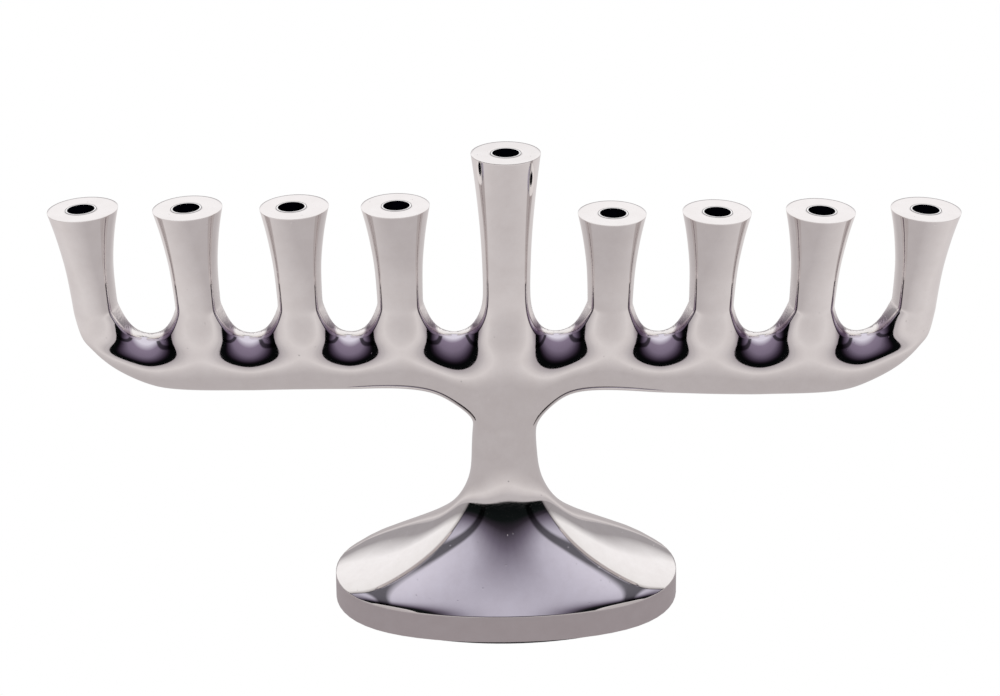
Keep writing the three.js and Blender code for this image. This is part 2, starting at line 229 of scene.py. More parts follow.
# Neck and foot. The shift and slide put their middles a little off the row's.
neck = {
    "waistWidth": 26.9, "waistDepth": 19.6, "waistZ": 77.3, "squareness": 2.4, "roundBy": 0.45,
    "shift": -1.1, "shiftPower": 1.5, "fillet": 24.0, "filletShare": 0.93,
    "ringHeights": (92, 83, 73, 63, 54, 46, 38.5, 31.5, 25.5, 20.5, 16.6),
    "startReach": 12, "startBelow": 100,  # it grows from the underside's faces that lie in these
    "jointZ": 48.3, "seam": 0.01,
}
foot = {
    "length": 148.4, "depth": 72.6, "bottomZ": 1.3, "bandTop": 13.9, "bandEdge": 2, "lean": 0.5,
    "lengthCurve": 2.72, "depthCurve": 1.85, "shift": -0.6, "slide": 0.6, "shiftPower": 3,
    "wingSquareness": 3.15, "wingStart": 0.5, "wingFull": 0.85, "wingEase": 0.93, "wingLoss": 0.7,
    "wall": 5.5, "roofZ": 32.3, "hollowHeights": (6, 11, 16, 21, 27),
}


def armRing(arm, z):
    spread = (1 - min(max((arm["top"] - z) / arm["flare"], 0), 1)) ** arm["power"]
    inBeam = smooth(arm["top"] - arm["flare"], saddleAt(arm["x"]), z)
    depth = mix(row["waistDepth"], row["beamDepth"], inBeam)
    return {
        "z": z, "x": arm["x"] + arm["bow"] * (1 - spread), "y": 0,
        "halfX": mix(arm["width"], row["cupWidth"], spread) / 2,
        "halfY": mix(depth, row["cupWidth"], spread) / 2,
        "squareness": mix(row["waistSquareness"], ellipse, math.sqrt(spread)),
    }


# Section of the neck and foot at a height: one curve from the waist down to the band.
def stemRing(z):
    fall = min(max((neck["waistZ"] - z) / (neck["waistZ"] - foot["bandTop"]), 0), 1)
    above = max(z - (undersideAt(0) - neck["fillet"]), 0)
    widen = neck["fillet"] - math.sqrt(max(neck["fillet"] ** 2 - above ** 2, 0))
    lean = foot["lean"] * min(max((z - foot["bottomZ"]) / (foot["bandTop"] - foot["bottomZ"]), 0), 1)
    waist = mix(neck["squareness"], ellipse, smooth(0, neck["roundBy"], fall))
    wing = smooth(foot["wingStart"], foot["wingFull"], fall)
    wing *= 1 - smooth(foot["wingEase"], 1, fall) * foot["wingLoss"]
    low = fall ** foot["shiftPower"]
    return {
        "z": z, "x": neck["shift"] * (1 - fall) ** neck["shiftPower"] + foot["shift"] * low,
        "y": foot["slide"] * low,
        "halfX": mix(neck["waistWidth"] / 2, foot["length"] / 2 - lean, fall ** foot["lengthCurve"]) + widen,
        "halfY": mix(neck["waistDepth"] / 2, foot["depth"] / 2 - lean, fall ** foot["depthCurve"]),
        "squareness": mix(waist, foot["wingSquareness"], wing),
    }


# Turns rings that the surface should pass through into rings of the cage. The first and the last
# are taken as they are, and the first only steers the others.
def cageRings(rings):
    for ring in rings:
        ring["corner"], ring["shrink"] = ringShape(ring["squareness"])
    for name in ("z", "x", "y", "halfX", "halfY"):
        for ring, value in zip(rings, throughTargets([ring[name] for ring in rings])):
            ring["cage" + name] = value
    for ring in rings:
        ring["cagehalfX"] /= ring["shrink"]
        ring["cagehalfY"] /= ring["shrink"]
    return rings


# The same for a ring by itself: the cage stands at the ring's own height and middle.
def flatRing(ring):
    ring["corner"], ring["shrink"] = ringShape(ring["squareness"])
    ring["cagex"], ring["cagey"], ring["cagez"] = ring["x"], ring["y"], ring["z"]
    ring["cagehalfX"], ring["cagehalfY"] = ring["halfX"] / ring["shrink"], ring["halfY"] / ring["shrink"]
    return ring


# Extrudes the chosen two-by-two faces to a ring. last is the ring they stand on now.
def growRing(last, ring):
    growFaces(*(ring["cage" + axis] - last["cage" + axis] for axis in "xyz"))
    centre = (ring["cagex"], ring["cagey"], ring["cagez"])
    scaleAbout(centre, ring["cagehalfX"] / last["cagehalfX"], ring["cagehalfY"] / last["cagehalfY"], 1)
    change = ring["corner"] / last["corner"]
    leastChange = 1e-4
    if abs(change - 1) > leastChange:
        setCorners(ring, change)


# Moves the four corners of the chosen ring in or out, then takes its faces up again.
def setCorners(ring, change):
    mesh = bmesh.from_edit_mesh(bpy.context.object.data)
    faces = [face.index for face in mesh.faces if face.select]
    centre = Vector((ring["cagex"] * mm, ring["cagey"] * mm, ring["cagez"] * mm))
    tiny = 0.2 * mm
    for vert in mesh.verts:
        isCorner = vert.select and abs(vert.co.x - centre.x) > tiny and abs(vert.co.y - centre.y) > tiny
        vert.select_set(isCorner)
    mesh.select_flush_mode()
    bmesh.update_edit_mesh(bpy.context.object.data)
    bpy.ops.transform.resize(value=(change, change, 1), center_override=centre)
    mesh = bmesh.from_edit_mesh(bpy.context.object.data)
    mesh.faces.ensure_lookup_table()
    for index in faces:
        mesh.faces[index].select_set(True)
    mesh.select_flush_mode()
    bmesh.update_edit_mesh(bpy.context.object.data)


# Puts the nine points of the chosen faces on a ring of their own: middles out, corners in.
def squareFaces(ring, middleX):
    mesh = bmesh.from_edit_mesh(bpy.context.object.data)
    tiny = cage["offMiddle"] * mm
    for vert in [vert for vert in mesh.verts if vert.select]:
        sideX = (vert.co.x - middleX * mm > tiny) - (vert.co.x - middleX * mm < -tiny)
        sideY = (vert.co.y > tiny) - (vert.co.y < -tiny)
        reach = ring["corner"] if sideX and sideY else 1
        vert.co.x = (ring["cagex"] + sideX * reach * ring["cagehalfX"]) * mm
        vert.co.y = (ring["cagey"] + sideY * reach * ring["cagehalfY"]) * mm
        vert.co.z = ring["cagez"] * mm
    bmesh.update_edit_mesh(bpy.context.object.data)


# Makes the outline of the chosen faces a hard edge.
def creaseRing():
    bpy.ops.mesh.region_to_loop()
    bpy.ops.transform.edge_crease(value=1)
    bpy.ops.mesh.loop_to_region()


# Sections of the beam's cage along the row, three for each arm and one for each gap, with the
# heights of their tops and bottoms.
def listStations():
    stations = []
    stretch = 1 / ringShape(ellipse)[1]
    for i, arm in enumerate(arms):
        reach = [gap["radius"] * stretch * cage["sideReach"] for gap in gaps]
        half = {}
        if i > 0:
            before = reach[i - 1] * cage["rightReach"]
            half["left"] = (gaps[i - 1]["x"] + before, gaps[i - 1]["z"] - before + cage["sideLift"])
        if i < len(gaps):
            half["right"] = (gaps[i]["x"] - reach[i], gaps[i]["z"] - reach[i] + cage["sideLift"])
        if i == 0:
            half["left"] = (2 * arm["x"] - half["right"][0], half["right"][1])
        if i == len(gaps):
            half["right"] = (2 * arm["x"] - half["left"][0], half["left"][1])
        middleZ = (half["left"][1] + half["right"][1]) / 2
        for x, top in (half["left"], (arm["x"], middleZ), half["right"]):
            stations.append({"x": x, "top": top, "arm": i})
        if i < len(gaps):
            gap = gaps[i]
            stations.append({"x": gap["x"], "top": gap["z"] - gap["radius"] * stretch + cage["saddleLift"]})
    for station in stations:
        station["bottom"] = bottomAt(station["x"])
    for block in (stations[:3], stations[:-4:-1]):  # each end is a straight block until it is bent up
        for station in block:
            station["bottom"] = block[2]["bottom"]
    return stations


def armStations(stations, i):
    return [station for station in stations if station.get("arm") == i]


# Cage height of the beam's underside: flat, down into the neck in the middle, up at both ends.
def bottomAt(x):
    flat = undersideAt(x) - cage["undersideSink"]
    neckHalf = neck["waistWidth"] / 2 + neck["fillet"]
    fromNeck = abs(x - neck["shift"])
    if fromNeck < neckHalf:
        inside = min(neckHalf - fromNeck, neck["fillet"] * neck["filletShare"])
        return flat - (neck["fillet"] - math.sqrt(neck["fillet"] ** 2 - inside ** 2))
    outer = halfSpan + row["outerBow"] + arms[-1]["width"] / 2
    past = abs(x) - (outer - ends["curveX"])
    if past > 0:
        gap = gaps[0] if x < 0 else gaps[-1]
        rise = gap["z"] + ends["curveRise"] - undersideAt(x)
        along = min(past / ends["curveX"], ends["curveShare"])
        return flat + rise * (1 - math.sqrt(1 - along ** 2))
    return flat


def shapeStation(station, last):
    centre = (station["x"], 0, (station["top"] + station["bottom"]) / 2)
    lastZ = (last["top"] + last["bottom"]) / 2
    growFaces(station["x"] - last["x"], 0, centre[2] - lastZ)
    scaleAbout(centre, 1, 1, (station["top"] - station["bottom"]) / (last["top"] - last["bottom"]))


# Beam, arms, neck and foot in one cage. It starts as a block at the left end.
def makeCasting():
    stations = listStations()
    first, third = stations[0], stations[2]
    half = row["beamDepth"] / 2 / ringShape(row["beamSquareness"])[1]
    top, bottom = third["top"], third["bottom"]
    middleZ = (top + bottom) / 2
    clearSelection()
    bpy.ops.mesh.primitive_cube_add(
        size=1, location=(stations[1]["x"] * mm, 0, middleZ * mm),
        scale=((third["x"] - first["x"]) * mm, 2 * half * mm, (top - bottom) * mm))
    body = bpy.context.object
    body.name = "castingBody"
    bpy.ops.object.transform_apply(location=True, rotation=True, scale=True)
    bpy.ops.object.mode_set(mode="EDIT")
    bpy.ops.mesh.select_mode(type="VERT")
    bpy.ops.mesh.select_all(action="SELECT")
    bpy.ops.mesh.subdivide(number_cuts=1)

    # Round the block's long edges: its top edges more than its bottom edges.
    for height, corner in ((top, cage["topCorner"]), (bottom, cage["bottomCorner"])):
        choose(lambda co: near(co.z, height) and abs(co.y) > half / 2 * mm, faces=False)
        scaleAbout((0, 0, middleZ), 1, corner, corner)

    # Sweep the section along the row, one station after another.
    choose(lambda centre, normal: normal.x > facing)
    last = third
    for station in stations[3:]:
        shapeStation(station, last)
        last = station

    raiseArmColumns(stations)
    shapeEnds(stations)
    for i, arm in enumerate(arms):
        growArm(armStations(stations, i), arm, half)
    growNeckAndFoot(armStations(stations, row["sideArms"])[1])
    bpy.ops.object.mode_set(mode="OBJECT")
    return body


# In the middle of each arm the front and back faces run straight up, so the edge isn't rounded there.
def raiseArmColumns(stations):
    for station in stations[1::4]:  # each arm's middle section
        low = (station["top"] + station["bottom"]) / 2 + cage["sideBand"]
        choose(lambda co: (
            near(co.x, station["x"]) and co.z > low * mm and abs(co.y) > cage["offMiddle"] * mm), faces=False)
        scaleAbout((0, 0, 0), 1, cage["columnDepth"] / cage["topCorner"], 1)


# How far out the underside of an end is at a height: it follows a quarter of an ellipse.
def endCurve(arm, z):
    gap = gaps[0] if arm["side"] < 0 else gaps[-1]
    top = gap["z"] + ends["curveRise"]
    drop = min(max((top - z) / (top - undersideAt(arm["x"])), 0), 1)
    outside = arm["x"] + arm["bow"] + arm["side"] * arm["width"] / 2
    return outside - arm["side"] * ends["curveX"] * (1 - math.sqrt(1 - drop ** 2))


# Moves the points of a station that stand between two heights.
def movePoints(x, low, high, stepX, stepZ):
    choose(lambda co: near(co.x, x) and low * mm < co.z < high * mm, faces=False)
    shift(stepX, 0, stepZ)


# Bends the block at each end: its outer face first, then the other two sections' bottoms and sides.
def shapeEnds(stations):
    for arm, (end, middle, inner) in ((arms[0], stations[:3]), (arms[-1], stations[:-4:-1])):
        base = saddleAt(arm["x"])
        out = arm["side"] * ends["out"]
        centre = (end["top"] + end["bottom"]) / 2
        low, high = centre - cage["sideBand"], centre + cage["sideBand"]
        for start, stop, z, newZ, corner in (
                (high, math.inf, end["top"], base + ends["topRise"], cage["topCorner"]),
                (low, high, centre, base + ends["sideRise"], 1),
                (0, low, end["bottom"], base + ends["bottomRise"], cage["bottomCorner"])):
            movePoints(end["x"], start, stop, endCurve(arm, newZ) + out - end["x"], newZ - z)
            scaleAbout((0, 0, 0), 1, ends["corner"] / corner, 1)
        for station, rise in ((middle, ends["middleRise"]), (inner, ends["innerRise"])):
            newZ = base + rise
            newX = endCurve(arm, newZ) + out
            stepX, stepZ = newX - station["x"], newZ - ends["sink"] - end["bottom"]
            movePoints(station["x"], 0, low, stepX, stepZ)
            movePoints(station["x"], low, high, stepX / 2, stepZ / 2)


# Raises an arm from the beam's top, ring by ring. Its first ring only steers the others.
def growArm(sections, arm, half):
    left, middle, right = sections
    base = (left["top"] + right["top"]) / 2
    choose(lambda centre, normal: (
        normal.z > leaning and abs(centre.y / mm) < half / 2
        and abs(centre.x / mm - arm["x"]) < cage["armReach"] and centre.z / mm > base - cage["armBand"]))
    low = saddleAt(arm["x"]) + gaps[0]["radius"]
    waist = max(arm["top"] - arm["flare"], low + row["flareAbove"])
    heights = [low - row["stemStart"], low]
    heights += [mix(waist, arm["top"], share) for share in row["flareShares"]]
    rings = cageRings([armRing(arm, z) for z in heights])
    last = rings[1]
    growFaces(0, 0, last["cagez"] - middle["top"])
    squareFaces(last, arm["x"])
    for ring in rings[2:]:
        growRing(last, ring)
        last = ring
    creaseRing()
    drillHole(arm)


def drillHole(arm):
    share = row["holeWidth"] / row["cupWidth"]
    growFaces(arm["holeX"] - arm["x"], 0, 0)
    scaleAbout((arm["holeX"], 0, arm["top"]), share, share, 1)
    creaseRing()
    growFaces(0, 0, -row["holeDepth"])
    creaseRing()


# Grows the neck down from the beam, spreads it into the foot, and hollows the foot from below.
def growNeckAndFoot(middle):
    choose(lambda centre, normal: (
        normal.z < -leaning and abs(centre.x / mm - middle["x"]) < neck["startReach"]
        and centre.z / mm < neck["startBelow"]))
    rings = cageRings([stemRing(z) for z in neck["ringHeights"] + (foot["bandTop"],)])
    last = rings[1]
    growFaces(0, 0, last["cagez"] - middle["bottom"])
    squareFaces(last, middle["x"])
    for ring in rings[2:]:
        growRing(last, ring)
        last = ring
    creaseRing()
    for z in (foot["bandTop"] - foot["bandEdge"], foot["bottomZ"] + foot["bandEdge"], foot["bottomZ"]):
        ring = flatRing(stemRing(z))
        growRing(last, ring)
        last = ring
    creaseRing()
    for z in (foot["bottomZ"],) + foot["hollowHeights"] + (foot["roofZ"],):
        inside = stemRing(z + foot["wall"] if z > foot["bottomZ"] else z)
        inside["z"] = z
        inside["halfX"] -= foot["wall"]
        inside["halfY"] -= foot["wall"]
        inside["squareness"] = ellipse
        ring = flatRing(inside)
        growRing(last, ring)
        if z in (foot["bottomZ"], foot["roofZ"]):
            creaseRing()
        last = ring


def applyModifier(piece, kind, **settings):
    bpy.context.view_layer.objects.active = piece
    modifier = piece.modifiers.new(kind.title(), kind)
    for name, value in settings.items():
        setattr(modifier, name, value)
    bpy.ops.object.modifier_apply(modifier=modifier.name)


finish = {"levels": 3, "edgeBreak": 0.35, "edgeAngle": 40, "bevelSegments": 2, "smoothAngle": 35}


def smoothByAngle():
    bpy.ops.object.shade_smooth_by_angle(angle=math.radians(finish["smoothAngle"]))


# Turns the whole of the piece in hand the right way out.
def faceOutwards():
    bpy.ops.mesh.select_all(action="SELECT")
    bpy.ops.mesh.normals_make_consistent(inside=False)
    bpy.ops.object.mode_set(mode="OBJECT")


def finishCasting(body):
    clearSelection()
    body.select_set(True)
    applyModifier(body, "SUBSURF", levels=finish["levels"], render_levels=finish["levels"])
    applyModifier(
        body, "BEVEL", width=finish["edgeBreak"] * mm, segments=finish["bevelSegments"], limit_method="ANGLE",
        angle_limit=math.radians(finish["edgeAngle"]), use_clamp_overlap=True, miter_outer="MITER_SHARP")
    bpy.ops.object.mode_set(mode="EDIT")
    faceOutwards()
    smoothByAngle()


# Keeps a copy of the casting above or below the joint.
def cutAtJoint(body, name, keepAbove):
    clearSelection()
    body.select_set(True)
    bpy.context.view_layer.objects.active = body
    bpy.ops.object.duplicate()
    piece = bpy.context.object
    piece.name = name
    bpy.ops.object.mode_set(mode="EDIT")
    bpy.ops.mesh.select_all(action="SELECT")
    z = neck["jointZ"] + (neck["seam"] if keepAbove else -neck["seam"])
    bpy.ops.mesh.bisect(
        plane_co=(0, 0, z * mm), plane_no=(0, 0, 1), use_fill=True,
        clear_inner=keepAbove, clear_outer=not keepAbove)
    bpy.ops.object.mode_set(mode="OBJECT")
    smoothByAngle()
    return piece


bores = {
    "sides": 48, "studWidth": 8.6, "studBottom": 30.0, "studTop": 72.6,
    "pinWidth": 4.3, "pinBottom": 40.0, "pinTop": 56.6,
}


# Cuts a round hole between two heights, about the middle of the piece that goes in it.
def cutBore(piece, node, width, bottom, top):
    low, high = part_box(node)
    clearSelection()
    bpy.ops.mesh.primitive_cylinder_add(
        vertices=bores["sides"], radius=width / 2 * mm, depth=(top - bottom) * mm,
        location=((low.x + high.x) / 2, (low.y + high.y) / 2, (top + bottom) / 2 * mm))
    cutter = bpy.context.object
    bpy.ops.object.transform_apply(location=True)
    applyModifier(piece, "BOOLEAN", operation="DIFFERENCE", object=cutter, solver="EXACT")
    bpy.data.objects.remove(cutter)


def cutBores(piece):
    cutBore(piece, "tie_stud", bores["studWidth"], bores["studBottom"], bores["studTop"])
    for side in ("left", "right"):
        cutBore(piece, f"locating_pin_{side}", bores["pinWidth"], bores["pinBottom"], bores["pinTop"])
    clearSelection()
    piece.select_set(True)
    bpy.context.view_layer.objects.active = piece
    smoothByAngle()


# Thin sleeve that lines a candle hole.
liner = {"sides": 48, "width": 11.4, "depth": 21.0, "wall": 0.7, "floor": 1.0, "lip": 0.15}


def makeLiner():
    clearSelection()
    bpy.ops.mesh.primitive_circle_add(
        vertices=liner["sides"], radius=liner["width"] / 2 * mm, fill_type="NGON",
        location=(0, 0, -liner["depth"] * mm))
    sleeve = bpy.context.object
    bpy.ops.object.transform_apply(location=True)
    bpy.ops.object.mode_set(mode="EDIT")
    bpy.ops.mesh.select_mode(type="FACE")
    bpy.ops.mesh.select_all(action="SELECT")
    growFaces(0, 0, liner["depth"])
    bpy.ops.mesh.inset(thickness=liner["wall"] * mm)
    growFaces(0, 0, liner["floor"] - liner["depth"])
    faceOutwards()
    applyModifier(
        sleeve, "BEVEL", width=liner["lip"] * mm, segments=finish["bevelSegments"], limit_method="ANGLE",
        angle_limit=math.radians(finish["edgeAngle"]))
    smoothByAngle()
    return sleeve


def placeLiners(sleeve):
    sideSteel = blackenedSteel("blackenedSteel", min(arm["top"] for arm in arms))
    helperSteel = blackenedSteel("blackenedSteelHelper", max(arm["top"] for arm in arms))
    for arm in arms:
        clearSelection()
        sleeve.select_set(True)
        bpy.context.view_layer.objects.active = sleeve
        bpy.ops.object.duplicate()
        copy = bpy.context.object
        copy.name = arm["liner"].replace("candle_liner", "candleSleeve")
        giveMaterial(copy, sideSteel if arm["side"] else helperSteel)
        copy.location = (arm["holeX"] * mm, 0, arm["top"] * mm)
        bpy.ops.object.transform_apply(location=True)
        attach(copy, "root")
        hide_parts(arm["liner"])
    bpy.data.objects.remove(sleeve)


# Ring of felt under the foot's wall.
felt = {"sides": 96, "inset": 1.2, "width": 4.0, "thickness": 1.0, "edge": 0.25}


def makeFelt():
    halfX, halfY = foot["length"] / 2 - felt["inset"], foot["depth"] / 2 - felt["inset"]
    clearSelection()
    bpy.ops.mesh.primitive_circle_add(vertices=felt["sides"], radius=1, fill_type="NGON")
    ring = bpy.context.object
    ring.name = "feltRing"
    ring.scale = (halfX * mm, halfY * mm, 1)
    bpy.ops.object.transform_apply(scale=True)
    bpy.ops.object.mode_set(mode="EDIT")
    bpy.ops.mesh.select_mode(type="FACE")
    bpy.ops.mesh.select_all(action="SELECT")
    bpy.ops.mesh.inset(thickness=felt["width"] * mm)
    bpy.ops.mesh.delete(type="FACE")
    bpy.ops.mesh.select_all(action="SELECT")
    growFaces(0, 0, felt["thickness"])
    faceOutwards()
    applyModifier(
        ring, "BEVEL", width=felt["edge"] * mm, segments=finish["bevelSegments"], limit_method="ANGLE",
        angle_limit=math.radians(finish["edgeAngle"]))
    smoothByAngle()
    return ring


# Waves are as wide as a buffing wheel's track. A pit's floor and edge are shares of the spacing,
# and pits are drawn about three times as wide as real ones, which wouldn't show.
polish = {
    "bright": "#f4f1f0", "dull": "#e6e1df", "roughness": 0.035, "haze": 0.05,
    "cloudSize": 6.0, "cloudLow": 0.35, "cloudHigh": 0.75, "waveLength": 14.0, "waveHeight": 0.012,
    "pitSpacing": 5.0, "pitFloor": 0.02, "pitEdge": 0.06, "pitDepth": 0.08, "pitStrength": 0.6,
}

# The band around the foot. Its scratches are drawn some ten times as coarse as real ones, to show.
satinBand = {
    "tint": "#d9d5d8", "roughness": 0.34, "fade": 0.4, "grit": 0.5, "gritDepth": 0.03, "gritStrength": 0.7,
}

# Patches of cast skin low in the gaps, on what is turned sideways, up or a little back. reach leaves
# out the outer sides of the row. The grain is drawn about three times as coarse as moulding sand.
castSkin = {
    "low": 122, "high": 140, "fade": 14, "reach": 148, "reachFade": 8,
    "turnLow": -0.05, "turnHigh": 0.7, "turnFade": 0.35, "patchLow": 0.36, "patchHigh": 0.52,
    "grain": 0.9, "grainDepth": 0.17, "grainStrength": 0.9, "roughness": 0.22,
}

# Painted shade around the bottoms of the gaps, where the metal is neither upright nor level: a
# lilac-grey tint that darkens the metal there.
paintedGapShade = {
    "tint": "#a69aa8", "low": 112, "high": 131, "fade": 6, "upLow": 0.30, "upHigh": 0.62, "upFade": 0.12,
}


# Mask that is 1 where the value lies between low and high, and fades out past both.
def between(tree, value, low, high, fade):
    rise = addNode(tree, "ShaderNodeMapRange", Value=value, From_Min=low - fade, From_Max=low)
    fall = addNode(tree, "ShaderNodeMapRange", Value=value, From_Min=high + fade, From_Max=high)
    return addNode(tree, "ShaderNodeMath", multiply, i0=rise.outputs[0], i1=fall.outputs[0]).outputs[0]


# A satin band has scratches too fine to follow, which blur what it mirrors into a soft grey.
def addSatinBand(tree, place, look, top):
    height = addNode(tree, "ShaderNodeSeparateXYZ", Vector=place).outputs["Z"]
    band = addNode(
        tree, "ShaderNodeMapRange", Value=height, From_Min=top * mm,
        From_Max=(top - satinBand["fade"]) * mm).outputs[0]
    grit = addNode(tree, "ShaderNodeTexNoise", Vector=place, Scale=1 / (satinBand["grit"] * mm), Detail=3.0)
    scratches = addNode(tree, "ShaderNodeMath", multiply, i0=grit.outputs[0], i1=band)
    look["rough"] = addNode(
        tree, "ShaderNodeMix", valueMix, i0=band, i2=look["rough"], i3=satinBand["roughness"]).outputs[0]
    look["colour"] = addNode(
        tree, "ShaderNodeMix", tintMix, i0=band, i6=look["colour"],
        i7=linearColour(satinBand["tint"])).outputs["Result"]
    look["normal"] = addNode(
        tree, "ShaderNodeBump", Strength=satinBand["gritStrength"], Distance=satinBand["gritDepth"] * mm,
        Height=scratches.outputs[0], Normal=look["normal"]).outputs[0]


# Low in the gaps, where the wheel doesn't reach, the skin is grainy and dull, and a lilac-grey
# tint darkens the hollows as painted shade.
def addGapSkinAndPaintedShade(tree, place, look, clouds):
    position = addNode(tree, "ShaderNodeSeparateXYZ", Vector=place)
    turn = addNode(
        tree, "ShaderNodeSeparateXYZ", Vector=addNode(tree, "ShaderNodeNewGeometry").outputs["Normal"])
    height = position.outputs["Z"]
    low, high, fade = (castSkin[name] * mm for name in ("low", "high", "fade"))
    mask = between(tree, height, low, high, fade)
    turned = between(
        tree, turn.outputs["Y"], castSkin["turnLow"], castSkin["turnHigh"], castSkin["turnFade"])
    reach = castSkin["reach"] * mm
    inner = between(tree, position.outputs["X"], -reach, reach, castSkin["reachFade"] * mm)
    patches = addNode(
        tree, "ShaderNodeMapRange", Value=clouds, From_Min=castSkin["patchLow"],
        From_Max=castSkin["patchHigh"]).outputs[0]
    for part in (turned, inner, patches):
        mask = addNode(tree, "ShaderNodeMath", multiply, i0=mask, i1=part).outputs[0]
    grains = addNode(
        tree, "ShaderNodeTexVoronoi", Vector=place, Scale=1 / (castSkin["grain"] * mm), Randomness=1.0)
    skin = addNode(tree, "ShaderNodeMath", multiply, i0=grains.outputs["Distance"], i1=mask)
    # Painted shade: a lilac-grey tint darkens the hollows around the gap bottoms.
    low, high, fade = (paintedGapShade[name] * mm for name in ("low", "high", "fade"))
    hollow = between(tree, height, low, high, fade)
    upward = between(tree, turn.outputs["Z"], paintedGapShade["upLow"], paintedGapShade["upHigh"], paintedGapShade["upFade"])
    hollow = addNode(tree, "ShaderNodeMath", multiply, i0=hollow, i1=upward).outputs[0]
    look["colour"] = addNode(
        tree, "ShaderNodeMix", tintMix, i0=hollow, i6=look["colour"],
        i7=linearColour(paintedGapShade["tint"])).outputs["Result"]
    look["normal"] = addNode(
        tree, "ShaderNodeBump", Strength=castSkin["grainStrength"], Distance=castSkin["grainDepth"] * mm,
        Height=skin.outputs[0], Normal=look["normal"]).outputs[0]
    look["rough"] = addNode(
        tree, "ShaderNodeMix", valueMix, i0=mask, i2=look["rough"], i3=castSkin["roughness"]).outputs[0]


# Cast aluminium, ground and buffed to a mirror: clean reflections that swim a little where the
# buffing wheel left soft waves, faintly clouded, with a few casting pits.
def polishedAluminium(name, satinBelow=None):
    material, tree = newMaterial(name)
    place = addNode(tree, "ShaderNodeTexCoord").outputs["Object"]
    clouds = addNode(
        tree, "ShaderNodeTexNoise", Vector=place, Scale=1 / (polish["cloudSize"] * mm), Detail=5.0,
        Roughness=0.6).outputs[0]
    tint = addNode(
        tree, "ShaderNodeMix", colourMix, i0=clouds, i6=linearColour(polish["dull"]),
        i7=linearColour(polish["bright"]))
    soft = addNode(
        tree, "ShaderNodeMapRange", Value=clouds, From_Min=polish["cloudLow"], From_Max=polish["cloudHigh"],
        To_Min=polish["roughness"], To_Max=polish["roughness"] + polish["haze"])
    waves = addNode(
        tree, "ShaderNodeTexNoise", Vector=place, Scale=1 / (polish["waveLength"] * mm), Detail=1.0)
    waveBump = addNode(
        tree, "ShaderNodeBump", Strength=1.0, Distance=polish["waveHeight"] * mm, Height=waves.outputs[0])
    pits = addNode(
        tree, "ShaderNodeTexVoronoi", Vector=place, Scale=1 / (polish["pitSpacing"] * mm), Randomness=1.0)
    pitShape = addNode(
        tree, "ShaderNodeMapRange", Value=pits.outputs["Distance"], From_Min=polish["pitFloor"],
        From_Max=polish["pitEdge"])
    pitBump = addNode(
        tree, "ShaderNodeBump", Strength=polish["pitStrength"], Distance=polish["pitDepth"] * mm,
        Height=pitShape.outputs[0], Normal=waveBump.outputs[0])
    look = {"rough": soft.outputs[0], "normal": pitBump.outputs[0], "colour": tint.outputs["Result"]}
    if satinBelow:
        addSatinBand(tree, place, look, satinBelow)
    else:
        addGapSkinAndPaintedShade(tree, place, look, clouds)
    shader = addNode(
        tree, "ShaderNodeBsdfPrincipled", Base_Color=look["colour"], Metallic=1.0, Roughness=look["rough"],
        Normal=look["normal"])
    addNode(tree, "ShaderNodeOutputMaterial", Surface=shader.outputs[0])
    return material


# The bright lip is what faces up near the top. It fades in between mouthLow and mouthHigh below it.
steel = {
    "dark": "#08080f", "light": "#1a1a30", "lip": "#f6f5f4", "sootSize": 2, "sootDepth": 0.03,
    "mouthLow": 7, "mouthHigh": 3, "upLow": 0.4, "upHigh": 0.7, "roughness": 0.45, "lipRoughness": 0.08,
}


# Turned steel sleeve, bright on the lip that the cup's facing cut cleaned, blued and sooty inside.
def blackenedSteel(name, lipZ):
    material, tree = newMaterial(name)
    place = addNode(tree, "ShaderNodeTexCoord").outputs["Object"]
    soot = addNode(tree, "ShaderNodeTexNoise", Vector=place, Scale=1 / (steel["sootSize"] * mm), Detail=4.0)
    dark = addNode(
        tree, "ShaderNodeMix", colourMix, i0=soot.outputs[0], i6=linearColour(steel["dark"]),
        i7=linearColour(steel["light"]))
    height = addNode(tree, "ShaderNodeSeparateXYZ", Vector=place).outputs["Z"]
    mouth = addNode(
        tree, "ShaderNodeMapRange", Value=height, From_Min=(lipZ - steel["mouthLow"]) * mm,
        From_Max=(lipZ - steel["mouthHigh"]) * mm)
    turn = addNode(
        tree, "ShaderNodeSeparateXYZ", Vector=addNode(tree, "ShaderNodeNewGeometry").outputs["Normal"])
    upward = addNode(
        tree, "ShaderNodeMapRange", Value=turn.outputs["Z"], From_Min=steel["upLow"],
        From_Max=steel["upHigh"])
    lip = addNode(tree, "ShaderNodeMath", multiply, i0=upward.outputs[0], i1=mouth.outputs[0]).outputs[0]
    colour = addNode(
        tree, "ShaderNodeMix", colourMix, i0=lip, i6=dark.outputs["Result"], i7=linearColour(steel["lip"]))
    rough = addNode(
        tree, "ShaderNodeMix", valueMix, i0=lip, i2=steel["roughness"], i3=steel["lipRoughness"])
    bump = addNode(
        tree, "ShaderNodeBump", Strength=0.4, Distance=steel["sootDepth"] * mm, Height=soot.outputs[0])
    shader = addNode(
        tree, "ShaderNodeBsdfPrincipled", Base_Color=colour.outputs["Result"], Metallic=1.0,
        Roughness=rough.outputs[0], Normal=bump.outputs[0])
    addNode(tree, "ShaderNodeOutputMaterial", Surface=shader.outputs[0])
    return material


# Wool fibres are about 0.03 mm thick, and are drawn over ten times as coarse to show at all.
wool = {
    "dark": "#1b1b1d", "light": "#47464a", "fibre": 0.4, "fibreHeight": 0.15, "roughness": 0.95, "sheen": 0.4,
}


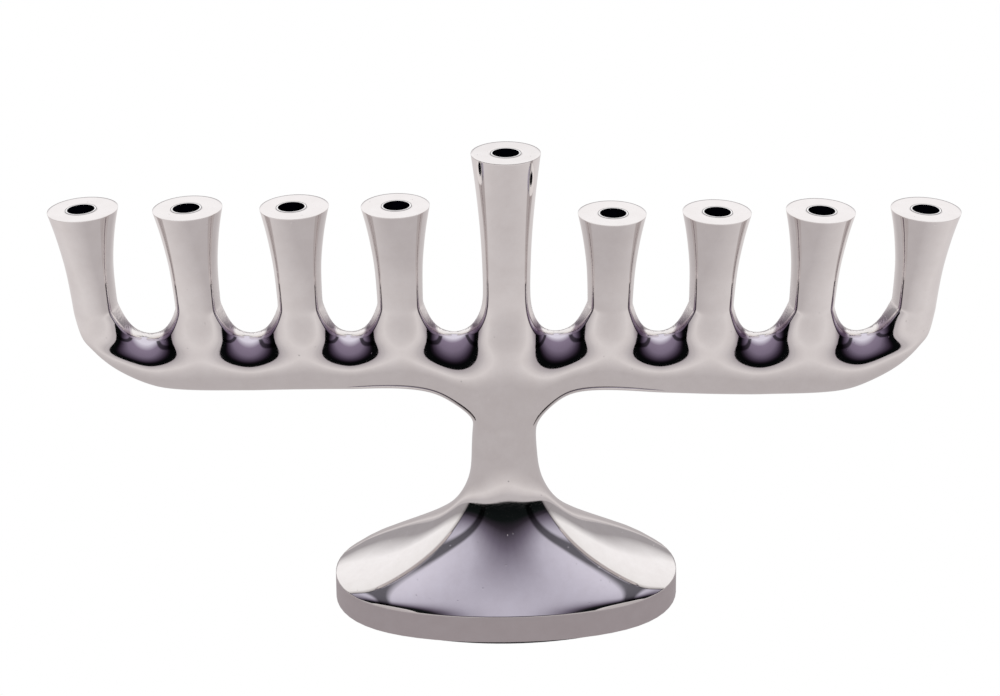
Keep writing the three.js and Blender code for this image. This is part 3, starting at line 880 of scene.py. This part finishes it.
# Pressed wool felt: dark, quite matt, with loose fibres that catch light at the edge.
def pressedFelt():
    material, tree = newMaterial("pressedFelt")
    place = addNode(tree, "ShaderNodeTexCoord").outputs["Object"]
    fibres = addNode(
        tree, "ShaderNodeTexNoise", Vector=place, Scale=1 / (wool["fibre"] * mm), Detail=6.0, Roughness=0.7)
    colour = addNode(
        tree, "ShaderNodeMix", colourMix, i0=fibres.outputs[0], i6=linearColour(wool["dark"]),
        i7=linearColour(wool["light"]))
    bump = addNode(
        tree, "ShaderNodeBump", Strength=0.8, Distance=wool["fibreHeight"] * mm, Height=fibres.outputs[0])
    shader = addNode(
        tree, "ShaderNodeBsdfPrincipled", Base_Color=colour.outputs["Result"], Roughness=wool["roughness"],
        Sheen_Weight=wool["sheen"], Sheen_Roughness=0.5, Normal=bump.outputs[0])
    addNode(tree, "ShaderNodeOutputMaterial", Surface=shader.outputs[0])
    return material


# The crystals of bright zinc are far too fine to see, and are drawn coarse enough to show.
plating = {
    "light": "#b9bec4", "dark": "#8d9297", "crystal": 1.2, "crystalHeight": 0.02, "cloud": 4,
    "cloudLow": 0.3, "cloudHigh": 0.7, "smoothest": 0.25, "roughest": 0.42,
}


# Bright zinc plating on steel: a cool grey with the cloudy crystal pattern of the plating.
def zincPlatedSteel():
    material, tree = newMaterial("zincPlatedSteel")
    place = addNode(tree, "ShaderNodeTexCoord").outputs["Object"]
    crystals = addNode(
        tree, "ShaderNodeTexVoronoi", Vector=place, Scale=1 / (plating["crystal"] * mm),
        Randomness=1.0).outputs["Distance"]
    cloud = addNode(tree, "ShaderNodeTexNoise", Vector=place, Scale=1 / (plating["cloud"] * mm), Detail=3.0)
    colour = addNode(
        tree, "ShaderNodeMix", colourMix, i0=crystals, i6=linearColour(plating["light"]),
        i7=linearColour(plating["dark"]))
    rough = addNode(
        tree, "ShaderNodeMapRange", Value=cloud.outputs[0], From_Min=plating["cloudLow"],
        From_Max=plating["cloudHigh"], To_Min=plating["smoothest"], To_Max=plating["roughest"])
    bump = addNode(
        tree, "ShaderNodeBump", Strength=0.3, Distance=plating["crystalHeight"] * mm, Height=crystals)
    shader = addNode(
        tree, "ShaderNodeBsdfPrincipled", Base_Color=colour.outputs["Result"], Metallic=1.0,
        Roughness=rough.outputs[0], Normal=bump.outputs[0])
    addNode(tree, "ShaderNodeOutputMaterial", Surface=shader.outputs[0])
    return material


print("casting")
body = makeCasting()
finishCasting(body)
candelabrum = cutAtJoint(body, "candelabrum", True)
footCasting = cutAtJoint(body, "foot", False)
print("bores for the stud and the pins")
cutBores(candelabrum)
cutBores(footCasting)
bpy.data.objects.remove(body)
for piece, node, material in (
        (candelabrum, "candelabrum_casting", polishedAluminium("polishedAluminium")),
        (footCasting, "foot_casting", polishedAluminium("polishedAluminiumSatinBand", foot["bandTop"]))):
    giveMaterial(piece, material)
    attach(piece, "root")
    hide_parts(node)

print("sleeves")
placeLiners(makeLiner())

print("felt and fastening")
feltRing = makeFelt()
giveMaterial(feltRing, pressedFelt())
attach(feltRing, "root")
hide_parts("felt_ring")
zinc = zincPlatedSteel()
for node in (
        "tie_stud", "plain_washer", "spring_washer", "hex_nut", "locating_pin_left", "locating_pin_right"):
    giveMaterial(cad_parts[node], zinc)

# Pitch is how far the camera looks down, and yaw how far it looks to the right.
view = {
    "lens": 50, "sensor": 36, "place": (-6.33, -492.29, 373.3), "pitch": 27.2, "yaw": 0.46, "roll": -0.52,
    "nearest": 0.01, "farthest": 50,  # in metres
}


def makeCamera():
    data = bpy.data.cameras.new("camera")
    data.lens, data.sensor_width = view["lens"], view["sensor"]
    data.clip_start, data.clip_end = view["nearest"], view["farthest"]
    camera = bpy.data.objects.new("camera", data)
    bpy.context.scene.collection.objects.link(camera)
    pitch, yaw, roll = (math.radians(view[name]) for name in ("pitch", "yaw", "roll"))
    ahead = Vector((math.sin(yaw) * math.cos(pitch), math.cos(yaw) * math.cos(pitch), -math.sin(pitch)))
    right = Vector((math.cos(yaw), -math.sin(yaw), 0))
    up = right.cross(ahead)
    right, up = math.cos(roll) * right + math.sin(roll) * up, math.cos(roll) * up - math.sin(roll) * right
    camera.matrix_world = Matrix((right, up, -ahead)).transposed().to_4x4()
    camera.location = Vector(view["place"]) * mm
    bpy.context.scene.camera = camera


# Colours here are light levels, red, green and blue, and may pass 1. Lengths are in metres. The floor's
# stops go by distance from the middle, the ceiling's by upward direction and the wall's by direction
# to the back.
studio = {
    "floorRadius": 6.0, "floorSides": 96,
    "floor": (
        (0.20, (0.53, 0.497, 0.503)), (0.42, (0.76, 0.725, 0.725)), (0.60, (0.68, 0.645, 0.65)),
        (0.90, (0.57, 0.54, 0.55))),
    "lampPower": 6.0, "lampSize": 1.2, "lampHeight": 1.4,
    "ceiling": (
        (0.0, (0.003, 0.004, 0.004)), (0.14, (0.006, 0.008, 0.008)), (0.20, (0.03, 0.024, 0.034)),
        (0.31, (0.16, 0.14, 0.19)), (0.44, (0.39, 0.37, 0.45)), (0.52, (0.54, 0.52, 0.62)),
        (0.9, (0.80, 0.78, 0.90))),
    "wall": (
        (0.30, (0.04, 0.04, 0.05)), (0.32, (0.05, 0.05, 0.06)), (0.335, (0.42, 0.40, 0.40)),
        (0.38, (0.62, 0.60, 0.60)), (0.46, (0.95, 0.94, 0.94)), (0.9, (1.04, 1.03, 1.04))),
    "wallWrap": 0.3, "wallStart": 0.29, "wallFull": 0.305,
    "lowWall": (0.38, 0.365, 0.375), "wallLow": 0.17, "wallHigh": 0.34,
    "cardInner": 0.66, "cardOuter": 0.76, "cardFade": 0.05, "cardDark": 0.2,
}


def setStops(ramp, stops):
    for position, colour in stops:
        ramp.elements.new(position).color = colour + (1,)
    ramp.elements.remove(ramp.elements[0])
    ramp.elements.remove(ramp.elements[-1])


# White to the camera. In reflections it is a soft grey that is lightest a little way out.
def makeFloor():
    clearSelection()
    bpy.ops.mesh.primitive_circle_add(
        vertices=studio["floorSides"], radius=studio["floorRadius"], fill_type="NGON")
    floor = bpy.context.object
    floor.name = "floor"
    material, tree = newMaterial("paleFloor")
    place = addNode(tree, "ShaderNodeTexCoord").outputs["Object"]
    away = addNode(tree, "ShaderNodeVectorMath", {"operation": "LENGTH"}, i0=place).outputs["Value"]
    grey = addNode(tree, "ShaderNodeValToRGB", Fac=away)
    setStops(grey.color_ramp, studio["floor"])
    path = addNode(tree, "ShaderNodeLightPath")
    seen = addNode(tree, "ShaderNodeEmission", Color=linearColour("#ffffff"), Strength=1.0)
    mirrored = addNode(tree, "ShaderNodeEmission", Color=grey.outputs[0], Strength=1.0)
    both = addNode(
        tree, "ShaderNodeMixShader", i0=path.outputs["Is Camera Ray"], i1=mirrored.outputs[0],
        i2=seen.outputs[0])
    addNode(tree, "ShaderNodeOutputMaterial", Surface=both.outputs[0])
    giveMaterial(floor, material)


# The room as the metal sees it: a lilac ceiling that darkens down to the horizon in front, two dark
# cards at the sides, and a white wall behind that is greyer near the floor.
def makeWorld():
    world = bpy.data.worlds.new("studio")
    bpy.context.scene.world = world
    world.use_nodes = True
    tree = world.node_tree
    tree.nodes.clear()
    place = addNode(tree, "ShaderNodeTexCoord")
    axes = addNode(tree, "ShaderNodeSeparateXYZ", Vector=place.outputs["Generated"])
    across = addNode(tree, "ShaderNodeMath", {"operation": "ABSOLUTE"}, i0=axes.outputs["X"]).outputs[0]
    ceiling = addNode(tree, "ShaderNodeValToRGB", Fac=axes.outputs["Z"])
    setStops(ceiling.color_ramp, studio["ceiling"])
    card = between(tree, across, studio["cardInner"], studio["cardOuter"], studio["cardFade"])
    carded = addNode(
        tree, "ShaderNodeMix", tintMix, i0=card, i6=ceiling.outputs[0], i7=(studio["cardDark"],) * 3 + (1,))
    back = addNode(
        tree, "ShaderNodeMath", {"operation": "MULTIPLY_ADD"}, i0=across, i1=studio["wallWrap"],
        i2=axes.outputs["Y"])
    wall = addNode(tree, "ShaderNodeValToRGB", Fac=back.outputs[0])
    setStops(wall.color_ramp, studio["wall"])
    low = addNode(
        tree, "ShaderNodeMapRange", Value=axes.outputs["Z"], From_Min=studio["wallHigh"],
        From_Max=studio["wallLow"])
    greyWall = addNode(
        tree, "ShaderNodeMix", tintMix, i0=low.outputs[0], i6=wall.outputs[0], i7=studio["lowWall"] + (1,))
    behind = addNode(
        tree, "ShaderNodeMapRange", Value=back.outputs[0], From_Min=studio["wallStart"],
        From_Max=studio["wallFull"])
    colour = addNode(
        tree, "ShaderNodeMix", colourMix, i0=behind.outputs[0], i6=carded.outputs["Result"],
        i7=greyWall.outputs["Result"])
    path = addNode(tree, "ShaderNodeLightPath")
    plain = addNode(
        tree, "ShaderNodeMix", colourMix, i0=path.outputs["Is Camera Ray"], i6=colour.outputs["Result"],
        i7=linearColour("#ffffff"))
    light = addNode(tree, "ShaderNodeBackground", Color=plain.outputs["Result"], Strength=1.0)
    addNode(tree, "ShaderNodeOutputWorld", Surface=light.outputs[0])


# A wide soft lamp overhead. No metal mirrors it, so it lights only the felt.
def makeLamp():
    data = bpy.data.lights.new("softbox", "AREA")
    data.energy, data.size = studio["lampPower"], studio["lampSize"]
    lamp = bpy.data.objects.new("softbox", data)
    bpy.context.scene.collection.objects.link(lamp)
    lamp.location = (0, 0, studio["lampHeight"])
    lamp.visible_glossy = False


print("camera, floor, room and lamp")
makeCamera()
makeFloor()
makeWorld()
makeLamp()
bpy.context.scene.view_settings.view_transform = "Standard"
